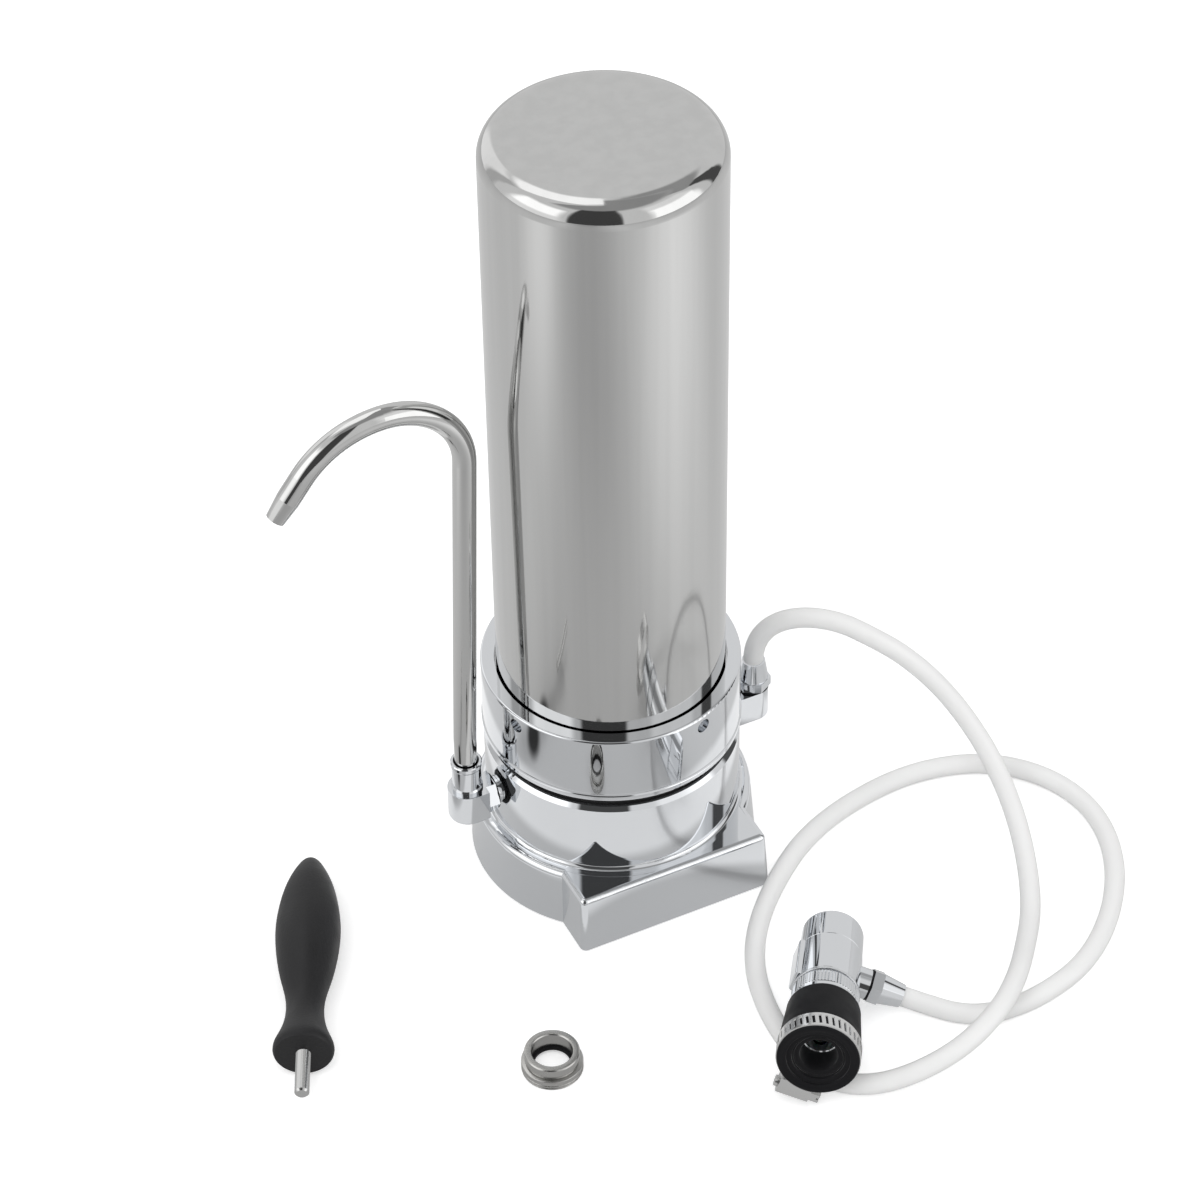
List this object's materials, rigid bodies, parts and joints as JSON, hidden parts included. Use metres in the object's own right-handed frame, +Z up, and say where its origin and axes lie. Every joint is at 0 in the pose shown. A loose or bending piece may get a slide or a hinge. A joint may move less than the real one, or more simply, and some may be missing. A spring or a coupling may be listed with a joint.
{
  "type": "countertop water filter",
  "caption": "Countertop water filter with an upright steel cup on a chrome base, a swivelling crook spout, a hose to a tap diverter, and a loose pin wrench and thread adapter.",
  "frame": {"origin": "on the filter's upright axis, at the underside of its rubber pad, where it stands", "axes": "+Z up along the cup; the flat front of the base faces -Y; the spout stands on -X and the hose leaves on +X"},
  "size_m": [0.3911, 0.2657, 0.381],
  "materials": {
    "chrome_plate": "mirror chrome plate",
    "polished_steel": "polished stainless steel",
    "knurled_chrome": "bright straight knurl",
    "satin_steel": "satin turned steel",
    "clamp_steel": "bright rolled stainless band",
    "screw_steel": "plain bright steel",
    "black_rubber": "matt moulded rubber",
    "grip_plastic": "fine textured black grip",
    "black_plastic": "plain black moulding",
    "white_plastic": "natural white moulding",
    "brass_plain": "turned brass",
    "carbon": "pressed carbon block",
    "fleece": "white fleece wrap",
    "hose_plastic": "translucent white tubing"
  },
  "bodies": {
    "base": {"base_shell": "chrome_plate", "bottom_plate": "black_plastic", "rubber_pad": "black_rubber", "bottom_screws": "screw_steel", "head_screws": "screw_steel", "filter_head": "black_plastic", "cup_seal": "black_rubber", "spigot_rings": "black_rubber", "port_washers": "black_rubber", "port_lock_nut": "chrome_plate", "outlet_elbow": "chrome_plate", "inlet_elbow": "chrome_plate", "inlet_washer": "black_rubber", "inlet_olive": "brass_plain", "hose": "hose_plastic", "tap_sleeve": "black_rubber", "clamp_band": "clamp_steel", "clamp_housing": "clamp_steel", "tap_connector": "chrome_plate", "swivel_washer": "black_rubber", "diverter_body": "chrome_plate", "diverter_washer": "black_rubber", "diverter_olive": "brass_plain"},
    "cup": {"cup": "polished_steel"},
    "lock_ring": {"lock_ring": "chrome_plate"},
    "cartridge": {"cartridge_bottom_cap": "white_plastic", "cartridge_top_cap": "white_plastic", "cartridge_gasket": "black_rubber", "cartridge_block": "carbon", "cartridge_wrap": "fleece", "cartridge_core": "white_plastic"},
    "spout": {"spout_tube": "polished_steel", "spout_ferrule": "white_plastic", "spout_seal": "black_rubber"},
    "spout_nut": {"spout_nut": "chrome_plate"},
    "inlet_nut": {"inlet_hose_nut": "chrome_plate"},
    "diverter_nut": {"diverter_hose_nut": "chrome_plate"},
    "outlet_sleeve": {"outlet_sleeve": "chrome_plate", "diverter_core": "white_plastic", "aerator_ring": "chrome_plate", "aerator_screen": "screw_steel"},
    "knurled_ring": {"knurled_ring": "knurled_chrome"},
    "clamp_screw": {"clamp_screw": "clamp_steel"},
    "wrench": {"wrench_grip": "grip_plastic", "wrench_pin": "screw_steel"},
    "adapter": {"adapter_ring": "satin_steel", "adapter_washer": "black_rubber"}
  },
  "joints": [
    {"name": "cup_lift", "type": "slide", "parent": "base", "child": "cup", "axis": [0, 0, 1], "range_m": [0, 0.3]},
    {"name": "lock_ring_turn", "type": "hinge", "parent": "cup", "child": "lock_ring", "pos_m": [0, 0, 0.09], "axis": [0, 0, 1], "range_deg": [0, 1800]},
    {"name": "cartridge_lift", "type": "slide", "parent": "base", "child": "cartridge", "axis": [0, 0, 1], "range_m": [0, 0.028]},
    {"name": "spout_swivel", "type": "hinge", "parent": "base", "child": "spout", "pos_m": [-0.07, 0, 0.06], "axis": [0, 0, 1], "range_deg": [-110, 110]},
    {"name": "spout_nut_turn", "type": "hinge", "parent": "base", "child": "spout_nut", "pos_m": [-0.07, 0, 0.065], "axis": [0, 0, 1], "range_deg": [0, 1800]},
    {"name": "inlet_nut_turn", "type": "hinge", "parent": "base", "child": "inlet_nut", "pos_m": [0.07, 0, 0.065], "axis": [0, 0, 1], "range_deg": [0, 1800]},
    {"name": "diverter_nut_turn", "type": "hinge", "parent": "base", "child": "diverter_nut", "pos_m": [0.05111, -0.14625, 0.0121], "axis": [0.7678, -0.5639, -0.3041], "range_deg": [0, 1800]},
    {"name": "diverter_turn", "type": "hinge", "parent": "base", "child": "outlet_sleeve", "pos_m": [0.03575, -0.13497, 0.01818], "axis": [0.536, 0.8254, -0.1771], "range_deg": [0, 90]},
    {"name": "knurled_ring_turn", "type": "hinge", "parent": "base", "child": "knurled_ring", "pos_m": [0.02546, -0.15082, 0.02158], "axis": [-0.536, -0.8254, 0.1771], "range_deg": [0, 1080]},
    {"name": "clamp_screw_turn", "type": "hinge", "parent": "base", "child": "clamp_screw", "pos_m": [-0.00151, -0.18037, 0.00829], "axis": [0.7678, -0.5639, -0.3041], "continuous": true},
    {"name": "wrench_lift", "type": "slide", "parent": "base", "child": "wrench", "axis": [0, 0, 1], "range_m": [0, 0.15]},
    {"name": "adapter_lift", "type": "slide", "parent": "base", "child": "adapter", "axis": [0, 0, 1], "range_m": [0, 0.15]}
  ]
}
